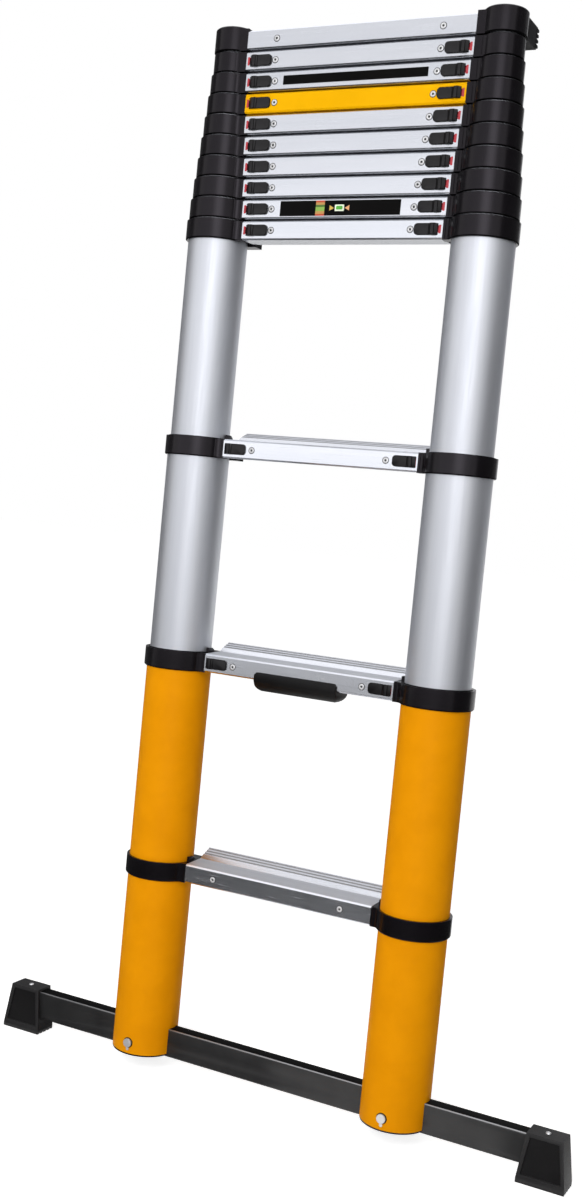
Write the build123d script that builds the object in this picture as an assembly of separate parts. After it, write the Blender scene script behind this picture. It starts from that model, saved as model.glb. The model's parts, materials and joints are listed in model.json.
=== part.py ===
from build123d import *
import os
from math import atan2, degrees

# Telescopic ladder. Pairs of round tubes slide into one another, and each pair carries a rung at its top.
# X runs along the rungs, Y to the rear, Z up the tubes. The floor is at Z = 0, midway between the tubes.
# Sections and rungs are numbered from the floor: section n holds rung n + 1, and the base holds rung 1 too.

# Sections and rungs
section_count = 12
drawn_count = 3  # sections standing out at full length, the base among them
plain_count = 3  # rungs above the yellow one
rung_pitch = 293.0  # rung to rung where a section is drawn out
stack_gap = 2.0  # between collars where a section is pushed home
first_rung_top = 299.0  # floor to the top of the lowest rung

# Tubes
tube_spacing = 384.2  # between the axes of a pair
base_tube_radius = 45.0
tube_step = 2.15  # each section's tubes are this much smaller in radius than those they slide in
tube_wall = 1.5
tube_overlap = 90.0  # length left inside the section below when drawn out
tube_foot = 26.0  # floor to the lower end of the base tubes
tube_recess = 1.5  # upper end of a tube below the top of its collar

# Rungs, an extrusion with a front tread, a riser and a raised rear tread
rung_front = 21.2  # front face ahead of the tube axes
rung_rear = 43.5  # rear edge behind the tube axes
rung_height = 25.5
rung_wall = 1.8
rung_edge = 2.0  # broken edges
tread_rise = 1.6  # of the front tread, from the front edge to the riser
riser_place = 18.0  # foot of the sloping riser behind the tube axes
riser_height = 4.9
riser_lean = 7.5  # top of the riser behind its foot
step_rise = 7.8  # of the raised tread, from the riser to the rear edge
nest_gap = 2.0  # between the riser of one rung and the underside of the next
web_place = 23.0  # upright wall inside the rung
groove_count = 3
groove_width = 2.4
groove_depth = 0.9
groove_pitch = 5.3
groove_inset = 2.2  # first groove behind the riser

# Collars, a ring round the tube with a block that meets the rung
collar_wall = 3.8
collar_lap = 0.6  # below the front of the rung
block_reach = 3.5  # from the ring to the rung's end
block_rear = 38.0  # behind the tube axes
horn_front = 6.0  # raised stretch of the ring beside the rung, from this far ahead of the tube axes
horn_crest = 4.0  # highest as far as this behind the axes
horn_rear = 18.0
horn_height = 6.5
spigot_length = 14.0  # inside the rung
spigot_front = 8.0
spigot_rear = 19.0
spigot_height = 14.0

# Thumb latches, places from the rung's end with the latch locked
latch_travel = 4.0  # from locked to unlocked
latch_overtravel = 1.5
slide_clearance = 0.3
button_length = 32.0
button_height = 14.5
button_thickness = 2.2
button_inset = 2.4
button_bevel = 3.5  # at the inner corners
ridge_length = 9.0
ridge_ramp = 4.0
ridge_rise = 2.0
ridge_fall = 4.2  # from the ridge's crest to the outer end
button_edge = 1.0  # thickness at the outer end
stem_length = 18.0
stem_inset = 5.2
slot_inset = 2.5
slot_height = 9.0
slider_thickness = 3.0
slider_height = 10.0
slider_inner = 30.0
arm_length = 8.0
bolt_width = 8.0
bolt_clearance = 0.4

# Top caps and wall buffers
cap_radius = 28.2
cap_block_reach = 2.0  # from the cap to the rung's end
cap_rise = 6.0  # above the top rung
cap_block_rise = 3.0
cap_roof = 3.0
cap_edge = 1.5
buffer_half_width = 26.0
buffer_rear = 48.0
buffer_rise = 1.5
rib_count = 4
rib_pitch = 6.5
rib_depth = 3.5
rib_width = 4.2
rib_crest = 2.4
rib_side = 1.0  # ribs stand this far past the buffer's sides

# Carry handle under the second rung
handle_length = 122.0
handle_drop = 14.0  # upper edge below the rung's top
handle_lip = 3.3
handle_front_drop = 26.0
handle_depth = 41.0
handle_low_place = 6.0  # lowest point ahead of the tube axes
handle_rear = 16.0
handle_rear_drop = 31.0
handle_round = 9.0
handle_bevel = 4.0

# Stabiliser bar and feet
bar_height = 40.0
bar_depth = 22.0
bar_bottom = 21.0
bar_wall = 2.0
bar_round = 3.0
bar_clearance = 0.2
foot_place = 395.0  # foot centre from the middle of the ladder
foot_height = 64.0
foot_top_length = 47.0
foot_top_depth = 30.0
foot_sole_length = 62.0
foot_sole_depth = 36.0
foot_end_wall = 4.0
foot_skirt = 6.0  # upright band round the sole
panel_border = 5.0
panel_depth = 2.0
sole_groove_count = 4
sole_groove_pitch = 8.5
sole_groove_width = 3.0
sole_groove_depth = 2.0

# Through bolts and end plugs of the base tubes
base_bolt_height = 41.0
base_bolt_radius = 4.0
base_bolt_clearance = 0.2
bolt_head_radius = 6.0
bolt_head_height = 3.2
nut_width = 13.0
nut_height = 3.5
plug_flange = 2.0
plug_insert = 8.0
plug_clearance = 0.2

axis_x = tube_spacing / 2
collar_height = rung_height + collar_lap
stack_pitch = collar_height + stack_gap  # rung to rung where a section is pushed home
step_place = riser_place + riser_lean  # front of the raised tread
latch_drop = rung_height / 2  # centre of a latch below the rung's top
bottom = (Align.CENTER, Align.CENTER, Align.MIN)
upper = (Align.CENTER, Align.CENTER, Align.MAX)


def tube_radius(section):
    return base_tube_radius - (section - 1) * tube_step


def rung_top(rung):
    drawn = min(rung - 1, drawn_count)
    return first_rung_top + drawn * rung_pitch + (rung - 1 - drawn) * stack_pitch


def ring_radius(rung):
    """Outer radius of the collar or cap that holds a rung."""
    if rung > section_count:
        return cap_radius
    return tube_radius(max(rung - 1, 1)) + collar_wall


def rung_end(rung):
    reach = cap_block_reach if rung > section_count else block_reach
    return axis_x - ring_radius(rung) - reach


def has_latches(rung):
    return 1 < rung <= section_count


def at_rung(rung):
    return Pos(0, 0, rung_top(rung))


def pair(piece):
    """A right-hand piece and its mirror image on the left."""
    return [piece, mirror(piece, about=Plane.YZ)]


def along_x(outline, start, end):
    """A solid from an outline in Y and Z, between two places on X."""
    return extrude(Plane.YZ.offset(start) * outline, end - start, dir=(1, 0, 0))


def span(x, y, z):
    """A box between pairs of limits on the three axes."""
    return Pos(x[0], y[0], z[0]) * Box(
        x[1] - x[0], y[1] - y[0], z[1] - z[0], align=(Align.MIN, Align.MIN, Align.MIN)
    )


# Tubes


def bolt_hole(section, height):
    """A square hole in the inboard wall of a right-hand tube, for a lock bolt."""
    half = bolt_width / 2 + bolt_clearance
    outside = axis_x - tube_radius(section) - tube_wall
    return span((outside, axis_x), (-half, half), (height - half, height + half))


def tube(section, foot):
    """The right-hand tube of a section, its upper end in the collar of the rung it carries."""
    radius = tube_radius(section)
    head = rung_top(section + 1) - tube_recess
    if section == section_count:
        head = rung_top(section + 1) + cap_rise - cap_roof
    pipe = Cylinder(radius, head - foot, align=bottom)
    pipe -= Cylinder(radius - tube_wall, head - foot, align=bottom)
    pipe = Pos(axis_x, 0, foot) * pipe
    if has_latches(section + 1):
        pipe -= bolt_hole(section, rung_top(section + 1) - latch_drop)
    return pipe


def base_tube():
    half_slot = bar_depth / 2 + bar_clearance
    radius = tube_radius(1)
    across = (axis_x - radius, axis_x + radius)
    slot = span(across, (-half_slot, half_slot), (tube_foot, bar_bottom + bar_height))
    return tube(1, tube_foot) - slot - through_hole(2 * radius)


def section_tube(section):
    drawn_rung = rung_top(section + 1) - rung_pitch
    return tube(section, drawn_rung - tube_overlap) - bolt_hole(section, drawn_rung - latch_drop)


# Rungs


def tread_z(y):
    return tread_rise * (y + rung_front) / (riser_place + rung_front)


def step_z(y):
    return tread_rise + riser_height + step_rise * (y - step_place) / (rung_rear - step_place)


def rung_outline():
    """The rung's outer section. The underside repeats the treads, so that rungs nest."""
    front, rear, edge = -rung_front, rung_rear, rung_edge
    under_riser = riser_place - nest_gap
    return Polygon(
        (front, edge - rung_height),
        (front, -edge),
        (front + edge, tread_z(front + edge)),
        (riser_place, tread_z(riser_place)),
        (step_place, step_z(step_place)),
        (rear - edge, step_z(rear - edge)),
        (rear, step_z(rear) - edge),
        (rear, step_z(rear) - rung_height),
        (under_riser + riser_lean, step_z(under_riser + riser_lean) - rung_height),
        (under_riser, tread_z(under_riser) - rung_height),
        (front + edge, tread_z(front + edge) - rung_height),
        align=None,
    )


def hollow_outline():
    """The inside of a rung, one wall in from the outer section."""
    front, rear = rung_wall - rung_front, rung_rear - rung_wall
    riser, under_riser = riser_place + rung_wall, riser_place - nest_gap - rung_wall
    floor = rung_wall - rung_height
    return Polygon(
        (front, tread_z(front) + floor),
        (front, tread_z(front) - rung_wall),
        (riser, tread_z(riser) - rung_wall),
        (riser + riser_lean, step_z(riser + riser_lean) - rung_wall),
        (rear, step_z(rear) - rung_wall),
        (rear, step_z(rear) + floor),
        (under_riser + riser_lean, step_z(under_riser + riser_lean) + floor),
        (under_riser, tread_z(under_riser) + floor),
        align=None,
    )


def rung_section():
    slope = degrees(atan2(step_rise, rung_rear - step_place))
    chambers = hollow_outline() - Pos(web_place, 0) * Rectangle(rung_wall, 2 * rung_height)
    section = rung_outline() - chambers
    for index in range(groove_count):
        y = step_place + groove_inset + index * groove_pitch
        groove = Rot(0, 0, slope) * Rectangle(groove_width, 2 * groove_depth)
        section -= Pos(y, step_z(y)) * groove
    return section


def latch_slot(rung):
    """The slot in a rung's front wall that a latch's stem slides in, at the right-hand end."""
    end = rung_end(rung)
    inner = stem_inset + stem_length + latch_travel + latch_overtravel + slide_clearance
    wall = (-rung_front - rung_wall, rung_wall - rung_front + slide_clearance)
    half = slot_height / 2
    return span((end - inner, end - slot_inset), wall, (-latch_drop - half, half - latch_drop))


def rung_bar(rung):
    end = rung_end(rung)
    bar = along_x(rung_section(), -end, end)
    if has_latches(rung):
        for slot in pair(latch_slot(rung)):
            bar -= slot
    return at_rung(rung) * bar


# Collars and caps


def block(rung, top):
    """The block of a collar between its ring and the rung's end, flat in front, tapered behind."""
    end, radius = rung_end(rung), ring_radius(rung)
    plan = Polygon(
        (end, -rung_front),
        (axis_x, -rung_front),
        (axis_x, min(radius, block_rear)),
        (end, block_rear),
        align=None,
    )
    return extrude(Pos(0, 0, -collar_height) * plan, collar_height + top)


def horn(rung):
    """A raised stretch of the ring beside the rung, falling away to the rear."""
    outline = Polygon(
        (-horn_front, -horn_height),
        (-horn_front, horn_height),
        (horn_crest, horn_height),
        (horn_rear, 0),
        (horn_rear, -horn_height),
        align=None,
    )
    drum = Cylinder(ring_radius(rung), 2 * collar_height)
    return along_x(outline, rung_end(rung), axis_x) & Pos(axis_x, 0, 0) * drum


def horn_room(rung):
    """A notch under a collar or cap for the horn of the collar below."""
    y = (-horn_front - nest_gap, horn_rear + nest_gap)
    return span((rung_end(rung), axis_x), y, (-collar_height, horn_height - collar_height))


def spigot(rung):
    end = rung_end(rung)
    middle = tread_z(spigot_front) - rung_height / 2
    z = (middle - spigot_height / 2, middle + spigot_height / 2)
    return span((end - spigot_length, end), (spigot_front, spigot_rear), z)


def latch_passage(rung):
    """Room in a collar's block for the slider's end and the lock bolt."""
    end = rung_end(rung)
    half = bolt_width / 2 + bolt_clearance
    passage = span((end, axis_x), (-half, half), (-latch_drop - half, half - latch_drop))
    front, rear = slider_faces()
    half = slider_height / 2 + bolt_clearance
    pocket = span(
        (end, end + slider_reach() + bolt_clearance),
        (front - bolt_clearance, rear + bolt_clearance),
        (-latch_drop - half, half - latch_drop),
    )
    return passage + pocket


def collar(rung):
    radius = ring_radius(rung)
    ring = Pos(axis_x, 0, 0) * Cylinder(radius, collar_height, align=upper)
    solid = ring + block(rung, 0) - horn_room(rung) + horn(rung) + spigot(rung)
    bore = Cylinder(radius - collar_wall, 2 * collar_height)
    solid -= Pos(axis_x, 0, 0) * bore
    if has_latches(rung):
        solid -= latch_passage(rung)
    return at_rung(rung) * solid


def cap_outside():
    """A top cap before it is bored for its tube."""
    drum = Cylinder(cap_radius, collar_height + cap_rise, align=upper)
    drum = chamfer(drum.edges().group_by(Axis.Z)[-1], cap_edge)
    return Pos(axis_x, 0, cap_rise) * drum + block(section_count + 1, cap_block_rise)


def top_cap():
    rung = section_count + 1
    depth = collar_height + cap_rise - cap_roof
    bore = Cylinder(tube_radius(section_count), depth, align=bottom)
    solid = cap_outside() - horn_room(rung) + spigot(rung)
    solid -= Pos(axis_x, 0, -collar_height) * bore
    return at_rung(rung) * solid


def wall_buffer():
    """A rubber pad behind a top cap, with level ribs that meet the wall."""
    width = buffer_half_width
    pad = span((-width, width), (0, buffer_rear), (-collar_height, buffer_rise))
    rib_outline = Polygon(
        (buffer_rear - rib_depth, -rib_width / 2),
        (buffer_rear + rib_depth - rib_width + rib_crest, -rib_width / 2),
        (buffer_rear + rib_depth, -rib_crest / 2),
        (buffer_rear + rib_depth, rib_crest / 2),
        (buffer_rear + rib_depth - rib_width + rib_crest, rib_width / 2),
        (buffer_rear - rib_depth, rib_width / 2),
        align=None,
    )
    rib = along_x(rib_outline, -width - rib_side, width + rib_side)
    middle = (buffer_rise - collar_height) / 2
    for index in range(rib_count):
        pad += Pos(0, 0, middle + (index - (rib_count - 1) / 2) * rib_pitch) * rib
    return at_rung(section_count + 1) * (Pos(axis_x, 0, 0) * pad - cap_outside())


# Latches


def slider_faces():
    front = slide_clearance + rung_wall - rung_front
    return front, front + slider_thickness


def slider_reach():
    """How far a locked slider passes the rung's end, so that unlocked it still backs the slot."""
    return latch_travel - slot_inset + slide_clearance


def bolt_reach():
    """From the rung's end to the tip of a locked bolt, just clear of the inner tube."""
    return block_reach + collar_wall + tube_step - slide_clearance


def button():
    """The thumb button, places from the rung's end, with a stem through the slot."""
    back = -rung_front - slide_clearance
    face = back - button_thickness
    outer, inner = -button_inset, -button_inset - button_length
    outline = Polygon(
        (inner, back),
        (inner, face),
        (outer - ridge_length - ridge_ramp, face),
        (outer - ridge_length, face - ridge_rise),
        (outer - ridge_fall, face - ridge_rise),
        (outer, back - button_edge),
        (outer, back),
        align=None,
    )
    head = extrude(outline, button_height / 2, both=True)
    head = chamfer(head.edges().filter_by(Axis.Y).group_by(Axis.X)[0], button_bevel)
    half = slot_height / 2 - slide_clearance
    stem = span((-stem_inset - stem_length, -stem_inset), (back, slider_faces()[0]), (-half, half))
    return head + stem


def slider():
    """The slider behind the front wall, its arm and the lock bolt."""
    front, rear = slider_faces()
    half, half_bolt = slider_height / 2, bolt_width / 2
    arm = (-slider_inner, arm_length - slider_inner)
    solid = span((-slider_inner, slider_reach()), (front, rear), (-half, half))
    solid += span(arm, (front, half_bolt), (-half, half))
    return solid + span((arm[0], bolt_reach()), (-half_bolt, half_bolt), (-half_bolt, half_bolt))


def latch(rung):
    """Button and slider at the right-hand end of a rung, locked where the section is drawn out."""
    back = 0 if rung <= drawn_count else latch_travel
    place = at_rung(rung) * Pos(rung_end(rung) - back, 0, -latch_drop)
    return [place * button(), place * slider()]


# Carry handle


def carry_handle():
    rung = 2
    front = -rung_front - handle_lip
    profile = Polyline(
        (front, -handle_front_drop),
        (front, -handle_drop - handle_lip / 2),
        (-rung_front, -handle_drop),
        (-rung_front, rung_edge - rung_height),
        (rung_edge - rung_front, tread_z(rung_edge - rung_front) - rung_height),
        (handle_rear, tread_z(handle_rear) - rung_height),
        (handle_rear, -handle_rear_drop),
    )
    sweep_under = ThreePointArc(
        (handle_rear, -handle_rear_drop),
        (-handle_low_place, -handle_depth),
        (front, -handle_front_drop),
    )
    grip = along_x(make_face(profile + sweep_under), -handle_length / 2, handle_length / 2)
    height = handle_depth - handle_drop
    face = Pos(0, -handle_drop - height / 2) * Rectangle(handle_length, height)
    ends = face.vertices().group_by(Axis.Y)
    face = fillet(ends[0], handle_round)
    face = chamfer(face.vertices().group_by(Axis.Y)[-1], handle_bevel)
    return at_rung(rung) * (grip & extrude(Plane.XZ * face, rung_rear, both=True))


# Stabiliser bar, feet, bolts and plugs


def through_hole(length):
    radius = base_bolt_radius + base_bolt_clearance
    return Pos(axis_x, 0, base_bolt_height) * Rot(90, 0, 0) * Cylinder(radius, length)


def bar_outline():
    return Pos(0, bar_bottom + bar_height / 2) * RectangleRounded(bar_depth, bar_height, bar_round)


def bar_reach():
    return foot_place + foot_top_length / 2 - foot_end_wall


def stabiliser_bar():
    hollow = Rectangle(bar_depth - 2 * bar_wall, bar_height - 2 * bar_wall)
    outline = bar_outline() - Pos(0, bar_bottom + bar_height / 2) * hollow
    bar = along_x(outline, -bar_reach(), bar_reach())
    for hole in pair(through_hole(2 * bar_depth)):
        bar -= hole
    return bar


def foot_wedge(sunk):
    """The outside of a foot, a wedge over an upright skirt, with its front and rear set in."""
    depth = foot_sole_depth - 2 * sunk
    sole = Pos(0, 0, foot_skirt) * Rectangle(foot_sole_length, depth)
    top = Pos(0, 0, foot_height) * Rectangle(foot_top_length, foot_top_depth - 2 * sunk)
    wedge = loft([sole.face(), top.face()], ruled=True)
    return wedge + Box(foot_sole_length, depth, foot_skirt, align=bottom)


def foot_panel():
    """A foot's front seen square on, inside its raised border."""
    low, high = foot_sole_length / 2 - panel_border, foot_top_length / 2 - panel_border
    base, top = foot_skirt + panel_border, foot_height - panel_border
    return Polygon((-low, base), (low, base), (high, top), (-high, top), align=None)


def foot():
    """A rubber wedge over the bar's end, with sunk panels front and rear and a grooved sole."""
    panel = extrude(Plane.XZ * foot_panel(), foot_sole_depth, both=True)
    wedge = foot_wedge(0) - panel + foot_wedge(panel_depth)
    for index in range(sole_groove_count):
        y = (index - (sole_groove_count - 1) / 2) * sole_groove_pitch
        wedge -= Pos(0, y, 0) * Box(2 * foot_sole_length, sole_groove_width, 2 * sole_groove_depth)
    return Pos(foot_place, 0, 0) * wedge - along_x(bar_outline(), 0, bar_reach())


def base_bolt():
    """A through bolt with its head in front, and its nut behind."""
    radius = tube_radius(1)
    shank = Cylinder(base_bolt_radius, 2 * radius + nut_height, align=bottom)
    shank = Pos(0, 0, -radius - nut_height) * shank
    head = Pos(0, 0, radius) * Cylinder(bolt_head_radius, bolt_head_height, align=bottom)
    nut = extrude(RegularPolygon(nut_width / 2, 6, major_radius=False), nut_height)
    nut = Pos(0, 0, -radius - nut_height) * nut - shank
    place = Pos(axis_x, 0, base_bolt_height) * Rot(90, 0, 0)
    return [place * (shank + head), place * nut]


def end_plugs():
    """The two halves of a plug in the lower end of a base tube, one each side of the bar."""
    radius = tube_radius(1)
    flange = Pos(0, 0, -plug_flange) * Cylinder(radius, plug_flange, align=bottom)
    insert = Cylinder(radius - tube_wall - plug_clearance, plug_insert, align=bottom)
    slot = Box(4 * radius, bar_depth + 2 * bar_clearance, 4 * plug_insert)
    return (Pos(axis_x, 0, tube_foot) * (flange + insert - slot)).solids()


def write(name, *pieces):
    export_step(Compound(list(solids_of(pieces))), f"parts/{name}.step")


def solids_of(pieces):
    for piece in pieces:
        yield from piece.solids()


def write_base():
    write("base_tubes", *pair(base_tube()))
    write("bottom_rung", rung_bar(1))
    write("bottom_rung_clamps", *pair(collar(1)))
    write("carry_rung", rung_bar(2))
    write("carry_rung_collars", *pair(collar(2)))
    write("carry_handle", carry_handle())
    write("stabiliser_bar", stabiliser_bar())
    write("stabiliser_feet", *pair(foot()))
    write("base_bolts", *(piece for part in base_bolt() for piece in pair(part)))
    write("tube_end_plugs", *(piece for part in end_plugs() for piece in pair(part)))


def write_section(section, rung_apart):
    """Tubes and rung share a node unless the rung stands apart."""
    name = f"section_{section:02d}"
    tubes, rung = pair(section_tube(section)), rung_bar(section + 1)
    if rung_apart:
        write(f"{name}_tubes", *tubes)
        write(f"{name}_rung", rung)
    else:
        write(f"{name}_frame", *tubes, rung)
    if section < section_count:
        write(f"{name}_collars", *pair(collar(section + 1)))


def write_top():
    write("top_caps", *pair(top_cap()))
    write("wall_buffers", *pair(wall_buffer()))


def write_latches(rung):
    parts = latch(rung)
    write(f"latch_{rung:02d}_right", *parts)
    write(f"latch_{rung:02d}_left", *(mirror(part, about=Plane.YZ) for part in parts))


yellow_section = section_count - plain_count
apart = [*range(2, drawn_count + 1), yellow_section]

os.makedirs("parts", exist_ok=True)
write_base()
for section in range(2, section_count + 1):
    write_section(section, section in apart)
write_top()
for rung in range(2, section_count + 1):
    write_latches(rung)
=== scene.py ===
import bmesh
import bpy
import json
from math import atan2, cos, pi, radians, sin, sqrt, tau
from mathutils import Matrix, Vector

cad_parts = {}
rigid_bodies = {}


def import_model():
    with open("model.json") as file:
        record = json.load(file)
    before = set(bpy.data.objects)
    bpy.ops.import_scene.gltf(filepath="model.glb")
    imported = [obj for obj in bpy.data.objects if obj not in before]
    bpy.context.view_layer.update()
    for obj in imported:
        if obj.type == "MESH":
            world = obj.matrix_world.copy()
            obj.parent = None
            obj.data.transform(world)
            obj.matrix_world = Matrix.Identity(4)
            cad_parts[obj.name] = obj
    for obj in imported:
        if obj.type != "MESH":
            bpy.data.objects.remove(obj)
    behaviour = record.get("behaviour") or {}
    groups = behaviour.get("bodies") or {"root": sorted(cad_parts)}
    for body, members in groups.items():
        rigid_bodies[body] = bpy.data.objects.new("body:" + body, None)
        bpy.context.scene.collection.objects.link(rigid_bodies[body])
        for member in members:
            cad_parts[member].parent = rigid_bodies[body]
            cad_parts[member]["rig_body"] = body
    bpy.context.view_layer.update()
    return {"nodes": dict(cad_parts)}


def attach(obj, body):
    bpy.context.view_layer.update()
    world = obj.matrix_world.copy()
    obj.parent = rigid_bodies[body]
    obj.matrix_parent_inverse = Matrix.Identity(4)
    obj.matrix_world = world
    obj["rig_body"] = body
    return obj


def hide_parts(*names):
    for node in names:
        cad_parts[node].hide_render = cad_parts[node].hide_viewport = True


# Telescopic ladder: finishes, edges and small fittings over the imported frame, then light, floor
# and camera. X runs along the rungs, Y to the rear, Z up the tubes. Lengths are in metres. Those
# written in millimetres are multiplied by mm.

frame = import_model()
nodes = frame["nodes"]
mm = 0.001
near = 0.01 * mm  # points this close count as one
sides = (-1, 1)
up, forward = (0, 0, 1), (0, -1, 0)

# Sizes of the frame that the fittings follow
section_count = 12
drawn_count = 3
axis_x = 192.1 * mm
base_radius = 45 * mm
tube_step = 2.15 * mm
bottom_rung_top = 299 * mm
drawn_pitch = 293 * mm
stacked_pitch = 28.1 * mm
rung_front = 21.2 * mm
rung_height = 25.5 * mm
collar_height = 26.1 * mm
ring_wall = 3.8 * mm
block_reach = 3.5 * mm
cap_reach = 30.2 * mm
latch_travel = 4.0 * mm
latch_drop = rung_height / 2
slider_front = -15 * mm
rivet_inset = 44 * mm
rivet_drop = 13 * mm
bolt_height = 41 * mm
screw_height = 32.2 * mm
foot_rivet_x = 395 * mm
foot_rivet_height = 64 * mm
rim_cut = 1.5 * mm


def section_name(rung):
    return f"section_{rung - 1:02d}"


def rung_node(rung):
    named = {1: "bottom_rung", 2: "carry_rung"}
    alone, shared = section_name(rung) + "_rung", section_name(rung) + "_frame"
    return named.get(rung) or (alone if alone in nodes else shared)


def rung_body(rung):
    return nodes[rung_node(rung)]["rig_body"]


def collar_node(rung):
    named = {1: "bottom_rung_clamps", 2: "carry_rung_collars", section_count + 1: "top_caps"}
    return named.get(rung) or section_name(rung) + "_collars"


def tube_radius(section):
    return base_radius - (section - 1) * tube_step


def ring_radius(rung):
    return tube_radius(max(rung - 1, 1)) + ring_wall


def rung_top(rung):
    drawn = min(rung - 1, drawn_count)
    stacked = rung - 1 - drawn
    return bottom_rung_top + drawn * drawn_pitch + stacked * stacked_pitch


def rung_end(rung):
    if rung > section_count:
        return axis_x - cap_reach
    return axis_x - ring_radius(rung) - block_reach


# Shader groups


def new_group(name, inputs, outputs):
    group = bpy.data.node_groups.new(name, "ShaderNodeTree")
    for label, value in inputs.items():
        kind = "NodeSocketFloat" if isinstance(value, (int, float)) else "NodeSocketVector"
        socket = group.interface.new_socket(label, in_out="INPUT", socket_type=kind)
        socket.default_value = value
    for label in outputs:
        group.interface.new_socket(label, in_out="OUTPUT", socket_type="NodeSocketFloat")
    return group, group.nodes.new("NodeGroupInput"), group.nodes.new("NodeGroupOutput")


def add_node(tree, kind, values=None, **settings):
    node = tree.nodes.new("ShaderNode" + kind)
    for name, value in settings.items():
        setattr(node, name, value)
    for socket, value in (values or {}).items():
        node.inputs[socket].default_value = value
    return node


def map_range(tree, source, span, result):
    values = {
        "From Min": span[0], "From Max": span[1], "To Min": result[0], "To Max": result[1],
    }
    node = add_node(tree, "MapRange", values)
    tree.links.new(source, node.inputs["Value"])
    return node.outputs["Result"]


def drawn_lines():
    """Fine lines left by drawing or brushing, and slow changes of tone, along one direction."""
    inputs = {"Stretch": (1.0, 1.0, 1.0), "Fine Scale": 900.0, "Broad Scale": 60.0}
    group, given, put = new_group("drawn_lines", inputs, ["Fine", "Broad"])
    position = add_node(group, "TexCoord").outputs["Object"]
    along = add_node(group, "VectorMath", operation="MULTIPLY")
    group.links.new(position, along.inputs[0])
    group.links.new(given.outputs["Stretch"], along.inputs[1])
    for label, detail in (("Fine", 3.0), ("Broad", 2.0)):
        noise = add_node(group, "TexNoise", {"Detail": detail, "Roughness": 0.6})
        group.links.new(along.outputs[0], noise.inputs["Vector"])
        group.links.new(given.outputs[label + " Scale"], noise.inputs["Scale"])
        group.links.new(noise.outputs["Fac"], put.inputs[label])
    return group


def moulded_grain():
    """Fine cells of a moulded or sprayed skin, and slow changes of tone."""
    inputs = {"Fine Scale": 1400.0, "Broad Scale": 25.0, "Cells": 0.5}
    group, given, put = new_group("moulded_grain", inputs, ["Fine", "Broad"])
    position = add_node(group, "TexCoord").outputs["Object"]
    cells = add_node(group, "TexVoronoi", feature="SMOOTH_F1")
    noise = add_node(group, "TexNoise", {"Detail": 4.0, "Roughness": 0.55})
    broad = add_node(group, "TexNoise", {"Detail": 3.0, "Roughness": 0.5})
    blend = add_node(group, "Mix")
    for node, label in ((cells, "Fine Scale"), (noise, "Fine Scale"), (broad, "Broad Scale")):
        group.links.new(position, node.inputs["Vector"])
        group.links.new(given.outputs[label], node.inputs["Scale"])
    group.links.new(given.outputs["Cells"], blend.inputs["Factor"])
    group.links.new(noise.outputs["Fac"], blend.inputs["A"])
    group.links.new(cells.outputs["Distance"], blend.inputs["B"])
    group.links.new(blend.outputs["Result"], put.inputs["Fine"])
    group.links.new(broad.outputs["Fac"], put.inputs["Broad"])
    return group


lines, grain = drawn_lines(), moulded_grain()

# The patterns seldom leave these spans.
fine_span, broad_span = (0.3, 0.7), (0.35, 0.65)


# Finishes


def new_material(name):
    material = bpy.data.materials.new(name)
    material.use_nodes = True
    return material, material.node_tree


def finish(name, group, values, colours, roughness, bump, constants):
    """A surface with two tones, roughness and relief that follow the group's patterns.

    bump gives the relief's strength and its depth in millimetres.
    """
    material, tree = new_material(name)
    shader = tree.nodes["Principled BSDF"]
    for socket, value in constants.items():
        shader.inputs[socket].default_value = value
    pattern = add_node(tree, "Group", node_tree=group)
    for socket, value in values.items():
        pattern.inputs[socket].default_value = value
    fine, broad = pattern.outputs["Fine"], pattern.outputs["Broad"]
    tone = add_node(tree, "Mix", data_type="RGBA")
    tone.inputs["A"].default_value = (*colours[0], 1)
    tone.inputs["B"].default_value = (*colours[1], 1)
    tree.links.new(map_range(tree, broad, broad_span, (0, 1)), tone.inputs["Factor"])
    tree.links.new(tone.outputs["Result"], shader.inputs["Base Color"])
    tree.links.new(map_range(tree, fine, fine_span, roughness), shader.inputs["Roughness"])
    relief = add_node(tree, "Bump", {"Strength": bump[0], "Distance": bump[1] * mm})
    tree.links.new(fine, relief.inputs["Height"])
    tree.links.new(relief.outputs["Normal"], shader.inputs["Normal"])
    return material


def metal(name, colours, stretch, roughness, bump, fine=700.0):
    values = {"Stretch": stretch, "Fine Scale": fine, "Broad Scale": 40.0}
    return finish(name, lines, values, colours, roughness, bump, {"Metallic": 1.0})


def moulding(name, colours, roughness, bump, fine, cells, level=0.5, **more):
    values = {"Fine Scale": fine, "Broad Scale": 25.0, "Cells": cells}
    constants = {"Specular IOR Level": level, **more}
    return finish(name, grain, values, colours, roughness, bump, constants)


silver = ((0.665, 0.685, 0.725), (0.705, 0.72, 0.755))
along_rung, along_tread, along_tube = (0.02, 1, 1), (0.004, 1, 1), (1, 1, 0.02)
anodised_tube = metal(
    "anodised_tube", silver, along_tube, roughness=(0.46, 0.56), bump=(0.12, 0.05),
)
anodised_rung = metal(
    "anodised_rung", silver, along_rung, roughness=(0.20, 0.28), bump=(0.10, 0.05),
)
ribbed_tread = metal(
    "ribbed_tread", silver, along_tread, roughness=(0.46, 0.58), bump=(0.6, 0.25), fine=420.0,
)
# A darker metal that paints shade in the tread's grooves.
groove_shade = metal(
    "groove_shade", ((0.41, 0.41, 0.42), (0.47, 0.47, 0.48)), along_tread,
    roughness=(0.50, 0.62), bump=(0.3, 0.1), fine=420.0,
)
bright_steel = metal(
    "bright_steel", ((0.72, 0.72, 0.73), (0.82, 0.82, 0.83)), (1, 1, 1),
    roughness=(0.22, 0.36), bump=(0.1, 0.05),
)
dull_zinc = moulding(
    "dull_zinc", ((0.58, 0.58, 0.59), (0.70, 0.70, 0.71)),
    roughness=(0.26, 0.40), bump=(0.1, 0.05), fine=900, cells=0.3, Metallic=0.35,
)
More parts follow.
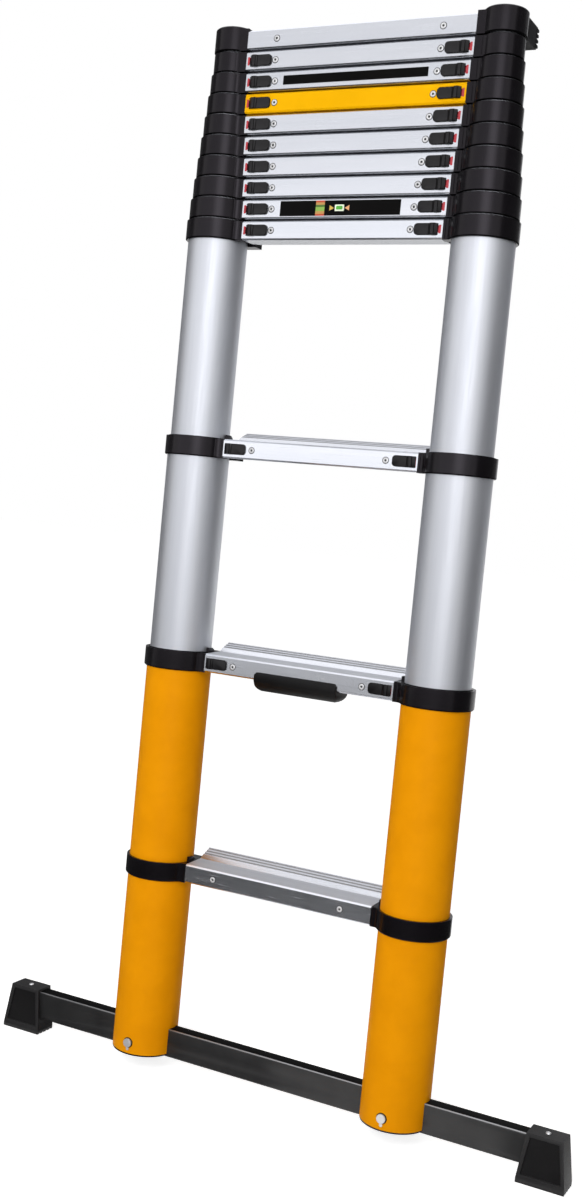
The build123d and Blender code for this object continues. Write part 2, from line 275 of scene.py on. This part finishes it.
# Near-black painted shade in the rivets' centres and round their feet.
rivet_shade = moulding(
    "rivet_shade", ((0.01, 0.01, 0.01), (0.03, 0.03, 0.03)),
    roughness=(0.5, 0.7), bump=(0.2, 0.05), fine=1500, cells=0.3,
)
yellow_coat = moulding(
    "yellow_coat", ((0.83, 0.305, 0.001), (0.88, 0.33, 0.0015)),
    roughness=(0.42, 0.55), bump=(0.10, 0.06), fine=1100, cells=0.6, level=0.02,
)
bright_yellow_coat = moulding(
    "bright_yellow_coat", ((0.90, 0.45, 0.001), (0.95, 0.48, 0.0015)),
    roughness=(0.42, 0.55), bump=(0.10, 0.06), fine=1100, cells=0.6, level=0.02,
)
black_moulding = moulding(
    "black_moulding", ((0.0030, 0.0024, 0.0032), (0.0046, 0.0038, 0.0048)),
    roughness=(0.20, 0.27), bump=(0.05, 0.05), fine=1600, cells=0.5, level=0.25,
    **{"Specular Tint": (0.98, 0.91, 1.0, 1)},
)
# Near-black painted shade for the bar's top, the cut under each collar ring and the latches'
# rounded edges.
shade_black = moulding(
    "shade_black", ((0.0012, 0.0011, 0.0012), (0.0022, 0.0020, 0.0022)),
    roughness=(0.60, 0.75), bump=(0.10, 0.05), fine=1600, cells=0.5, level=0.05,
)
latch_black = moulding(
    "latch_black", ((0.0035, 0.0030, 0.0036), (0.0055, 0.0047, 0.0056)),
    roughness=(0.32, 0.42), bump=(0.06, 0.05), fine=1900, cells=0.5, level=0.32,
)
slider_red = moulding(
    "slider_red", ((0.40, 0.014, 0.026), (0.47, 0.020, 0.034)),
    roughness=(0.36, 0.50), bump=(0.12, 0.05), fine=1900, cells=0.5,
)
black_rubber = moulding(
    "black_rubber", ((0.0036, 0.0033, 0.0036), (0.0060, 0.0055, 0.0058)),
    roughness=(0.50, 0.68), bump=(0.3, 0.1), fine=1100, cells=0.7, level=0.22,
)
# A paler rubber that paints light on the feet's frames and rounded edges.
lit_rubber = moulding(
    "lit_rubber", ((0.012, 0.0115, 0.012), (0.018, 0.0175, 0.018)),
    roughness=(0.50, 0.68), bump=(0.3, 0.1), fine=1100, cells=0.7, level=0.3,
)
grip_rubber = moulding(
    "grip_rubber", ((0.0026, 0.0024, 0.0026), (0.0044, 0.0041, 0.0043)),
    roughness=(0.44, 0.60), bump=(0.25, 0.08), fine=1300, cells=0.7, level=0.22,
)
# A paler metal that paints a highlight along the bar's upper rounds.
highlight_edge = metal(
    "highlight_edge", ((0.24, 0.24, 0.245), (0.36, 0.36, 0.365)), (0.05, 1, 1),
    roughness=(0.34, 0.50), bump=(0.1, 0.05),
)
dark_coat = moulding(
    "dark_coat", ((0.015, 0.015, 0.0155), (0.022, 0.022, 0.0225)),
    roughness=(0.40, 0.52), bump=(0.18, 0.08), fine=1000, cells=0.6, level=0.4,
)
gloss_black = moulding(
    "gloss_black", ((0.0015, 0.0014, 0.0013), (0.0026, 0.0024, 0.0022)),
    roughness=(0.28, 0.36), bump=(0.04, 0.03), fine=1200, cells=0.2, level=0.05,
)


def printed(name, colour):
    """A printed colour on the angle strip, a little uneven."""
    lighter = tuple(min(1.0, part * 1.12) for part in colour)
    return moulding(
        name, (colour, lighter), roughness=(0.30, 0.40), bump=(0.04, 0.03), fine=1400, cells=0.3,
    )


print_red = printed("print_red", (0.50, 0.055, 0.008))
print_tan = printed("print_tan", (0.50, 0.26, 0.06))
print_green = printed("print_green", (0.06, 0.14, 0.008))
print_lime = printed("print_lime", (0.24, 0.42, 0.055))
print_gold = printed("print_gold", (0.62, 0.40, 0.06))
print_peach = printed("print_peach", (0.70, 0.34, 0.14))
vial_frame = printed("vial_frame", (0.78, 0.85, 0.66))
vial_green = moulding(
    "vial_green", ((0.05, 0.35, 0.015), (0.10, 0.48, 0.04)),
    roughness=(0.10, 0.18), bump=(0.03, 0.03), fine=300, cells=0.1, level=0.6,
)


# Shapes


def place(name, bm, body, materials, replaced=()):
    mesh = bpy.data.meshes.new(name)
    bm.to_mesh(mesh)
    bm.free()
    for material in materials:
        mesh.materials.append(material)
    piece = bpy.data.objects.new(name, mesh)
    bpy.context.scene.collection.objects.link(piece)
    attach(piece, body)
    if replaced:
        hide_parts(*replaced)
    return piece


def soften(piece, edge, segments=2, edge_index=-1):
    """Rounds a piece's sharp edges and keeps its flats flat.

    edge is in millimetres. The rounds may have a material of their own.
    """
    bevel = piece.modifiers.new("soft_edges", "BEVEL")
    bevel.width = edge * mm
    bevel.segments = segments
    bevel.limit_method = "ANGLE"
    bevel.angle_limit = radians(35)
    bevel.harden_normals = True
    bevel.use_clamp_overlap = True
    bevel.material = edge_index
    return piece


def merged_copy(node):
    """A smooth copy of a node, its doubled points merged and its flat faces whole."""
    bm = bmesh.new()
    bm.from_mesh(nodes[node].data)
    for layer in list(bm.loops.layers.uv.values()):
        bm.loops.layers.uv.remove(layer)
    bmesh.ops.remove_doubles(bm, verts=bm.verts, dist=near)
    bmesh.ops.dissolve_limit(bm, angle_limit=radians(0.5), verts=bm.verts, edges=bm.edges)
    for edge in bm.edges:
        edge.smooth = True
    for face in bm.faces:
        face.material_index = 0
        face.smooth = True
    return bm


def solids(bm):
    """The faces of each separate solid."""
    left = set(bm.faces)
    for seed in bm.faces:
        if seed not in left:
            continue
        left.discard(seed)
        solid, front = [seed], [seed]
        while front:
            for edge in front.pop().edges:
                for face in edge.link_faces:
                    if face in left:
                        left.discard(face)
                        solid.append(face)
                        front.append(face)
        yield solid


def corners(faces):
    return {vert for face in faces for vert in face.verts}


def run(edge, axis):
    """How far an edge runs along X, Y or Z, which are 0, 1 and 2."""
    return abs(edge.verts[0].co[axis] - edge.verts[1].co[axis])


def dressed(node, edge, materials, segments=2, paint=None, edge_index=-1):
    """A copy of a node with rounded edges. paint may give its faces their materials."""
    bm = merged_copy(node)
    if paint:
        paint(bm)
    piece = place(node + "_finish", bm, nodes[node]["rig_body"], materials, [node])
    return soften(piece, edge, segments, edge_index)


def prism(outline, reach):
    """A solid from a flat outline, drawn out along a vector."""
    bm = bmesh.new()
    base = bm.faces.new([bm.verts.new(point) for point in outline])
    drawn = bmesh.ops.extrude_face_region(bm, geom=[base])["geom"]
    far_end = [part for part in drawn if isinstance(part, bmesh.types.BMVert)]
    bmesh.ops.translate(bm, vec=reach, verts=far_end)
    bmesh.ops.recalc_face_normals(bm, faces=bm.faces)
    return bm


def round_edges(bm, edges, offset, segments):
    return bmesh.ops.bevel(
        bm, geom=list(edges), offset=offset, offset_type="OFFSET", affect="EDGES",
        segments=segments, profile=0.5, material=-1, clamp_overlap=True,
    )["faces"]


def turned(bm, profile, centre, axis, steps, index=0):
    """Adds a turned shape: radius and height pairs in millimetres, spun about an axis."""
    axis = Vector(axis)
    across = axis.orthogonal().normalized()
    before = set(bm.verts)
    verts = [
        bm.verts.new(centre + across * radius * mm + axis * height * mm)
        for radius, height in profile
    ]
    edges = [bm.edges.new(pair) for pair in zip(verts, verts[1:])]
    bmesh.ops.spin(
        bm, geom=verts + edges, cent=centre, axis=axis, dvec=(0, 0, 0),
        angle=tau, steps=steps, use_merge=True,
    )
    new = [vert for vert in bm.verts if vert not in before]
    bmesh.ops.remove_doubles(bm, verts=new, dist=near / 10)
    faces = [face for face in bm.faces if not before.intersection(face.verts)]
    bmesh.ops.recalc_face_normals(bm, faces=faces)
    for face in faces:
        face.smooth = True
        face.material_index = index


def turned_pair(profiles, centre, axis, steps):
    """Turned shapes on both sides of the middle, from profiles with their material's index."""
    bm = bmesh.new()
    x, y, z = centre
    for side in sides:
        for profile, index in profiles:
            turned(bm, profile, Vector((side * x, y, z)), axis, steps, index)
    return bm


def joined(bm, other, index):
    """Adds another shape to a bmesh with one material."""
    for face in other.faces:
        face.material_index = index
    mesh = bpy.data.meshes.new("passing")
    other.to_mesh(mesh)
    other.free()
    bm.from_mesh(mesh)
    bpy.data.meshes.remove(mesh)


def mirrored(bm):
    bmesh.ops.scale(bm, vec=(-1, 1, 1), verts=bm.verts)
    bmesh.ops.recalc_face_normals(bm, faces=bm.faces)
    return bm


def on_both_sides(bm):
    """Adds the mirror image of a right-hand shape."""
    joined(bm, mirrored(bm.copy()), 0)
    return bm


def plate(x, z, thickness, lift=0.0, corner=0.6):
    """A thin plate before a rung's front, between limits on X and Z, in millimetres."""
    y = -rung_front - lift * mm
    outline = [(x[0], z[0]), (x[1], z[0]), (x[1], z[1]), (x[0], z[1])]
    bm = prism([(a * mm, y, b * mm) for a, b in outline], (0, -thickness * mm, 0))
    round_edges(bm, [edge for edge in bm.edges if run(edge, 1) > near], corner * mm, segments=3)
    return bm


def on_rung(bm, rung):
    bmesh.ops.translate(bm, vec=(0, 0, rung_top(rung)), verts=bm.verts)
    return bm


# Tubes and plugs keep their solids and take a finish

for node, material in (
    ("base_tubes", yellow_coat),
    ("section_02_tubes", anodised_tube),
    ("section_03_tubes", anodised_tube),
    ("section_09_tubes", anodised_tube),
    ("tube_end_plugs", black_moulding),
):
    for slot in nodes[node].material_slots:
        slot.material = material


# Rungs and collars


def is_groove(face, treads):
    """True for a face that lies a groove's depth under a parallel tread face."""
    least, most = 0.5 * mm, 1.3 * mm
    parallel = 0.9999
    height = face.normal.dot(face.calc_center_median())
    drops = [
        face.normal.dot(tread.calc_center_median()) - height
        for tread in treads if tread.normal.dot(face.normal) > parallel
    ]
    return any(least < drop < most for drop in drops)


def paint_rung(bm):
    """Rungs are flat: 0 on the rung, 1 on its tread, 3 in the tread's grooves, a painted shade.
    Tubes have 2.
    """
    upward, endward = 0.88, 0.5
    for solid in solids(bm):
        across = [vert.co.x for vert in corners(solid)]
        if min(across) > 0 or max(across) < 0:
            for face in solid:
                face.material_index = 2
            continue
        treads = [face for face in solid if face.normal.z > upward]
        for face in solid:
            face.smooth = False
            face.material_index = 0
        floors = [face for face in treads if is_groove(face, treads)]
        walls = [face for floor in floors for edge in floor.edges for face in edge.link_faces]
        for face in treads:
            face.material_index = 1
        for face in floors + [wall for wall in walls if abs(wall.normal.x) < endward]:
            face.material_index = 3


def lower_rim(solid):
    """The edges of the lower outer rim of a collar's ring."""
    band = 0.1 * mm
    verts = corners(solid)
    side = 1 if sum(vert.co.x for vert in verts) > 0 else -1
    reach = {vert: (vert.co.xy - Vector((side * axis_x, 0))).length for vert in verts}
    foot = min(vert.co.z for vert in verts)
    ring = max(reach[vert] for vert in verts if vert.co.x * side > axis_x)
    rim = {
        vert for vert in verts
        if vert.co.z < foot + near and abs(reach[vert] - ring) < band
    }
    return [edge for face in solid for edge in face.edges if rim.issuperset(edge.verts)]


def shape_collar(bm):
    """Cuts back the lower outer edge of each collar ring and paints the cut with 1, a near-black
    painted shade for the gap under the ring.
    """
    rims = dict.fromkeys(edge for solid in solids(bm) for edge in lower_rim(solid))
    for face in round_edges(bm, rims, rim_cut, segments=1):
        face.material_index = 1


def corner_fill(rung, radius=10 * mm, steps=8):
    """A strip that rounds the front corner between a right-hand collar's ring and block."""
    ring = ring_radius(rung)
    inset = sqrt((ring + radius) ** 2 - (rung_front + radius) ** 2)
    middle = Vector((axis_x - inset, -rung_front - radius))
    start, end = pi / 2, atan2(-middle.y, axis_x - middle.x)
    angles = [start + (end - start) * step / steps for step in range(steps + 1)]
    arc = [middle + radius * Vector((cos(angle), sin(angle))) for angle in angles]
    sink = 0.7 * mm
    corner_x = axis_x - sqrt(ring ** 2 - rung_front ** 2)
    sunk = Vector((corner_x + sink, sink - rung_front))
    low, high = rim_cut - collar_height, -0.5 * mm
    bm = prism([(*point, low) for point in [*arc, sunk]], (0, 0, high - low))
    for face in bm.faces:
        face.smooth = True
    for edge in bm.edges:
        edge.smooth = run(edge, 2) > near
    return bm


for rung in range(1, section_count + 1):
    fill = on_rung(on_both_sides(corner_fill(rung)), rung)
    name = f"collar_corners_{rung:02d}"
    place(name, fill, rung_body(rung), [black_moulding])

rung_finishes = [anodised_rung, ribbed_tread, anodised_tube, groove_shade]
for rung in range(1, section_count + 2):
    node = rung_node(rung)
    if node == "section_09_rung":
        dressed(node, 0.5, [bright_yellow_coat] * 4, paint=paint_rung)
    else:
        dressed(node, 0.5, rung_finishes, paint=paint_rung)
    collar = dressed(
        collar_node(rung), 0.6, [black_moulding, shade_black],
        segments=3, paint=shape_collar,
    )
    collar.modifiers.new("flat_sides", "WEIGHTED_NORMAL").mode = "FACE_AREA"


# Bar, feet, bolts, handle, buffers and guide rings


def paint_bar(bm):
    """Painted light on the bar's coat: 1, a near-black painted shade, on the top, and 2, a
    painted highlight, on the middle of each upper round.
    """
    sloping, level, endward = 0.55, 0.9, 0.1
    for face in bm.faces:
        highlighted = sloping < face.normal.z < level and abs(face.normal.x) < endward
        face.material_index = 2 if highlighted else int(face.normal.z >= level)


def paint_feet(bm):
    """Feet keep dark rubber on the large fields of their fronts and backs; 1, a paler rubber,
    paints light on their frames.
    """
    upright, least_field = 0.9, 1000 * mm * mm
    for face in bm.faces:
        field = abs(face.normal.y) > upright and face.calc_area() > least_field
        face.material_index = 0 if field else 1


dressed("stabiliser_bar", 0.8, [dark_coat, shade_black, highlight_edge], paint=paint_bar)
dressed("base_bolts", 1.4, [dull_zinc], segments=3)
dressed("wall_buffers", 0.4, [black_rubber])
dressed("carry_handle", 1.4, [grip_rubber], segments=3)
# The feet's rounded edges take the paler rubber too, as painted light.
dressed(
    "stabiliser_feet", 1.6, [black_rubber, lit_rubber],
    segments=3, paint=paint_feet, edge_index=1,
)

# Guide rings fill the collar tops round the tubes that slide there.
for rung in range(2, section_count + 1):
    slide_gap, seat_gap = 0.3, 0.05
    inner, outer = tube_radius(rung) / mm + slide_gap, tube_radius(rung - 1) / mm - seat_gap
    low, high, edge = -1.45, 1.0, 0.3
    ring = [
        (inner, low), (outer, low), (outer, high),
        (inner + edge, high), (inner, high - edge), (inner, low),
    ]
    bm = turned_pair([(ring, 0)], (axis_x, 0, rung_top(rung)), up, steps=48)
    for face in bm.faces:
        face.smooth = False
    place(f"guide_rings_{rung:02d}", bm, rung_body(rung), [black_moulding])


# Latches


def button():
    """A right-hand thumb button: a flat pad with rounded inner corners and a raised outer end."""
    outer, inner, half = -2.4, -34.4, 7.25
    back, face, ridge, corner = -0.3, -2.5, -4.5, 4.6
    outline = [
        (inner, back), (inner, face), (outer - 11.6, face), (outer - 9.2, ridge),
        (outer - 4.2, ridge), (outer - 0.8, -1.5), (outer, -1.2), (outer, back),
    ]
    points = [(x * mm, -rung_front + y * mm, -half * mm) for x, y in outline]
    bm = prism(points, (0, 0, 2 * half * mm))
    inner_corners = [
        edge for edge in bm.edges
        if all(abs(vert.co.x - inner * mm) < near for vert in edge.verts) and run(edge, 2) < near
    ]
    round_edges(bm, inner_corners, corner * mm, segments=5)
    return bm


def is_slider(solid):
    return max(vert.co.y for vert in corners(solid)) > slider_front


# Each latch keeps the solid of its slider, 0. The button, 1, takes the place of the other solid.
# Their rounded edges take 2, a near-black painted shade that outlines them.
latch_finishes = [slider_red, latch_black, shade_black]
for rung in range(2, section_count + 1):
    slack = 0 if rung <= drawn_count else latch_travel
    seat = (rung_end(rung) - slack, 0, rung_top(rung) - latch_drop)
    for side in ("left", "right"):
        node = f"latch_{rung:02d}_{side}"
        bm = merged_copy(node)
        for solid in list(solids(bm)):
            if not is_slider(solid):
                bmesh.ops.delete(bm, geom=solid, context="FACES")
        pad = button()
        bmesh.ops.translate(pad, vec=seat, verts=pad.verts)
        joined(bm, pad if side == "right" else mirrored(pad), 1)
        for face in bm.faces:
            face.smooth = True
        piece = place(node + "_finish", bm, node, latch_finishes, [node])
        soften(piece, 0.8, edge_index=2)

# Red marks on the rung fronts show beside the buttons while the latches are open.
for rung in range(2, section_count + 1):
    end = rung_end(rung) / mm
    mark = on_both_sides(plate((end - 5.1, end - 2.2), (-18.2, -7.3), 0.15))
    name = f"open_marks_{rung:02d}"
    place(name, on_rung(mark, rung), rung_body(rung), [slider_red])


# Rivets and screws, with painted shade round the rivets and bolt heads

rivet = [(3.9, 0.1), (3.8, 0.5), (3.3, 0.8), (2.4, 0.95), (1.8, 0.9), (1.5, 0.5)]
# The rivet's dark centre and the thin dark ring round its foot are painted shade.
rivet_core = [(1.5, 0.5), (0.8, 0.42), (0, 0.4)]
rivet_shadow_ring = [(4.7, 0), (4.6, 0.12), (3.8, 0.12)]
foot_rivet = [(3.6, -0.2), (3.5, 0.5), (2.4, 1.2), (0, 1.5)]
# A dark ring behind each bolt head paints the shade round the head.
bolt_shadow_ring = [(7.2, -1.0), (7.2, 0.3), (6.9, 0.6), (5.5, 0.6)]
screw = [(2.4, -0.6), (2.4, 0.5), (1.7, 1.0), (0.7, 1.1), (0, 0.6)]

for rung in range(1, section_count + 2):
    seat = (rung_end(rung) - rivet_inset, -rung_front, rung_top(rung) - rivet_drop)
    bm = turned_pair([(rivet, 0), (rivet_core, 1), (rivet_shadow_ring, 1)], seat, forward, steps=20)
    place(f"rung_rivets_{rung:02d}", bm, rung_body(rung), [dull_zinc, rivet_shade])

bm = turned_pair([(foot_rivet, 0)], (foot_rivet_x, 0, foot_rivet_height), up, steps=20)
place("foot_rivets", bm, "base", [bright_steel])

bm = turned_pair([(bolt_shadow_ring, 0)], (axis_x, -base_radius, bolt_height), forward, steps=28)
place("bolt_shadow_rings", bm, "base", [black_rubber])

bm = turned_pair([(screw, 0)], (axis_x, -base_radius, screw_height), forward, steps=16)
place("tube_screws", bm, "base", [dull_zinc])


# Strips on two rung fronts

strip_thickness, print_thickness = 0.25, 0.06
plain_rung, angle_rung = 11, 5


def angle_strip():
    """A strip with colour bands, 1 to 4, two arrows, 5 and 6, and a level vial, 7 and 8."""
    left, right, low, high = -89.0, 84.0, -22.6, -2.8
    middle = (low + high) / 2

    def along(share):
        return left + share * (right - left)

    strip = plate((left, right), (low, high), strip_thickness)

    top = high
    for index, share in ((1, 0.13), (2, 0.15), (3, 0.15), (4, 0.27), (2, 0.17), (1, 0.13)):
        foot = top - share * (high - low)
        limits = (along(0.304), along(0.378)), (foot, top)
        joined(strip, plate(*limits, print_thickness, strip_thickness, corner=0.05), index)
        top = foot

    arrow_half = 3.6
    face_y = -rung_front - strip_thickness * mm
    for tail, tip, index in ((0.42, 0.458, 5), (0.584, 0.546, 6)):
        outline = ((along(tail), arrow_half), (along(tail), -arrow_half), (along(tip), 0))
        points = [(x * mm, face_y, (middle + z) * mm) for x, z in outline]
        joined(strip, prism(points, (0, -print_thickness * mm, 0)), index)

    left_end, right_end, half, frame_thickness = along(0.466), along(0.542), 4.2, 0.7
    limits = (left_end, right_end), (middle - half, middle + half)
    joined(strip, plate(*limits, frame_thickness, strip_thickness, corner=1.0), 7)
    border, half, lift = 2, 2.3, strip_thickness + frame_thickness
    glass_thickness = 0.35
    limits = (left_end + border, right_end - border), (middle - half, middle + half)
    joined(strip, plate(*limits, glass_thickness, lift, corner=1.4), 8)
    return strip


strip = on_rung(plate((-102.5, 103.6), (-18.5, -6.5), strip_thickness), plain_rung)
place("plain_strip", strip, rung_body(plain_rung), [gloss_black])
place(
    "angle_strip", on_rung(angle_strip(), angle_rung), rung_body(angle_rung),
    [
        gloss_black, print_red, print_tan, print_green, print_lime,
        print_gold, print_peach, vial_frame, vial_green,
    ],
)


# Floor, light and camera

fill_level = 0.38
floor_tone = 0.8
floor_glow = 0.74
white = (1, 1, 1, 1)


def seen_rays(tree):
    """1 for the rays that show the background itself, 0 for those that light the object."""
    path = add_node(tree, "LightPath")
    total = path.outputs["Is Camera Ray"]
    for label in ("Is Glossy Ray", "Is Transmission Ray"):
        sum_node = add_node(tree, "Math", operation="ADD", use_clamp=True)
        tree.links.new(total, sum_node.inputs[0])
        tree.links.new(path.outputs[label], sum_node.inputs[1])
        total = sum_node.outputs[0]
    return total


def set_world():
    """A white room that lights the object less than it shows."""
    world = bpy.data.worlds.new("white_room")
    world.use_nodes = True
    bpy.context.scene.world = world
    tree = world.node_tree
    fill = tree.nodes["Background"]
    fill.inputs["Color"].default_value = white
    fill.inputs["Strength"].default_value = fill_level
    shown = add_node(tree, "Background", {"Color": white, "Strength": 1.0})
    mix = add_node(tree, "MixShader")
    tree.links.new(seen_rays(tree), mix.inputs[0])
    tree.links.new(fill.outputs[0], mix.inputs[1])
    tree.links.new(shown.outputs[0], mix.inputs[2])
    tree.links.new(mix.outputs[0], tree.nodes["World Output"].inputs["Surface"])


def stage_sheet(name, size, matrix, material):
    bm = bmesh.new()
    bmesh.ops.create_grid(bm, x_segments=1, y_segments=1, size=0.5)
    bmesh.ops.scale(bm, vec=(*size, 1), verts=bm.verts)
    bmesh.ops.transform(bm, matrix=matrix, verts=bm.verts)
    mesh = bpy.data.meshes.new(name)
    bm.to_mesh(mesh)
    bm.free()
    mesh.materials.append(material)
    sheet = bpy.data.objects.new(name, mesh)
    bpy.context.scene.collection.objects.link(sheet)
    return sheet


def bare_material(name):
    """A material with no shader yet, its nodes, and the socket that takes its shader."""
    material, tree = new_material(name)
    tree.nodes.remove(tree.nodes["Principled BSDF"])
    return material, tree, tree.nodes["Material Output"].inputs["Surface"]


def floor_paint():
    """Pale paint that reads as white to the camera and still takes the object's shadow."""
    material, tree, surface = bare_material("floor_paint")
    paint = add_node(tree, "BsdfDiffuse", {"Color": (floor_tone, floor_tone, floor_tone, 1)})
    glow = add_node(tree, "Emission", {"Color": white})
    level = add_node(tree, "Math", operation="MULTIPLY")
    level.inputs[1].default_value = floor_glow
    both = add_node(tree, "AddShader")
    tree.links.new(seen_rays(tree), level.inputs[0])
    tree.links.new(level.outputs[0], glow.inputs["Strength"])
    tree.links.new(paint.outputs[0], both.inputs[0])
    tree.links.new(glow.outputs[0], both.inputs[1])
    tree.links.new(both.outputs[0], surface)
    return material


def card_paint(name, level):
    """A plain glow, a little cool."""
    material, tree, surface = bare_material(name)
    colour = (level, level, level * 1.03, 1)
    glow = add_node(tree, "Emission", {"Color": colour, "Strength": 1.0})
    tree.links.new(glow.outputs[0], surface)
    return material


def reflector(name, size, matrix, level):
    """A studio card that only shows in glossy surfaces."""
    card = stage_sheet(name, size, matrix, card_paint(name, level))
    card.visible_camera = card.visible_diffuse = card.visible_shadow = False
    card.visible_transmission = card.visible_volume_scatter = False


def area_light(name, location, target, size, power):
    lamp = bpy.data.lights.new(name, "AREA")
    lamp.shape, lamp.energy = "RECTANGLE", power
    lamp.size, lamp.size_y = size
    light = bpy.data.objects.new(name, lamp)
    light.location = location
    aim = Vector(target) - Vector(location)
    light.rotation_euler = aim.to_track_quat("-Z", "Y").to_euler()
    light.visible_glossy = False
    bpy.context.scene.collection.objects.link(light)


upright = Matrix.Rotation(radians(90), 4, "X")
sideways = Matrix.Rotation(radians(90), 4, "Y")
turned_in = Matrix.Rotation(radians(18), 4, "Z")
above_floor = 0.004
dark, dim = 0.06, 0.12
back_y, back_z = 2.8, 1.675


def lying(x, y, z=above_floor):
    return Matrix.Translation((x, y, z))


def standing(x, y, z):
    return Matrix.Translation((x, y, z)) @ upright


set_world()
stage_sheet("floor", (60, 60), Matrix.Identity(4), floor_paint())
reflector("near_floor", (9, 4.5), lying(0, -2.75), dark)
reflector("far_floor", (16, 4.0), lying(0, -7.0), 0.82)
reflector("front_band", (12, 1.9), standing(0, -5.0, 1.5), 1.45)
reflector("front_high", (12, 2.4), standing(0, -5.0, 3.65), 0.88)

# Four cards, each smaller, brighter and a little nearer, make one light with a soft border.
soft = Matrix.Translation((1.15, -3.5, 1.65)) @ turned_in @ upright
soft_boxes = ((2.8, 2.2, 1.7), (2.2, 2.0, 2.2), (1.6, 1.9, 2.7), (1.0, 1.8, 3.3))
for index, (width, height, level) in enumerate(soft_boxes):
    nearer = Matrix.Translation((0, 0.04 * index, 0))
    reflector(f"soft_box_{index}", (width, height), nearer @ soft, level)

reflector("back_middle", (1.6, 1.85), standing(0, back_y, back_z), 0.8)
reflector("back_high", (12, 3.9), standing(0, back_y, 4.55), 0.55)
reflector("top_card", (5, 3.6), lying(0, -0.2, 3.6), 1.4)
for side, name in zip(sides, ("left", "right")):
    turn = Matrix.Translation((side * 2.4, 1.0, 1.3)) @ sideways
    reflector(f"side_card_{name}", (2.8, 3.6), turn, dim)
    reflector(f"back_{name}", (4.2, 1.85), standing(side * 2.9, back_y, back_z), 0.18)

# Dark cards leave the floor near the ladder white only under it, behind it and by its right foot.
for name, size, x, y in (
    ("side_floor_left", (4.2, 3.0), -2.4, 1.0),
    ("side_floor_right", (3.88, 3.0), 2.56, 1.0),
    ("rear_floor", (0.32, 2.2), 0.46, 1.4),
    ("bar_floor", (0.3, 0.23), -0.15, -0.135),
    ("foot_floor", (0.28, 0.48), 0.48, -0.26),
):
    reflector(name, size, lying(x, y), dark)

area_light("key", (0.2, -3.0, 1.8), target=(0, 0, 0.8), size=(1.6, 1.8), power=65)

camera = bpy.data.objects.new("camera", bpy.data.cameras.new("camera"))
camera.location = (0.810065, -1.681217, 0.78418)
camera.rotation_euler = (radians(86.7473), radians(-5.4869), radians(26.7903))
camera.data.sensor_fit = "VERTICAL"
camera.data.sensor_height = 36
camera.data.lens = 42.0806
camera.data.clip_end = 200
bpy.context.scene.collection.objects.link(camera)
bpy.context.scene.camera = camera
bpy.context.scene.view_settings.view_transform = "Standard"
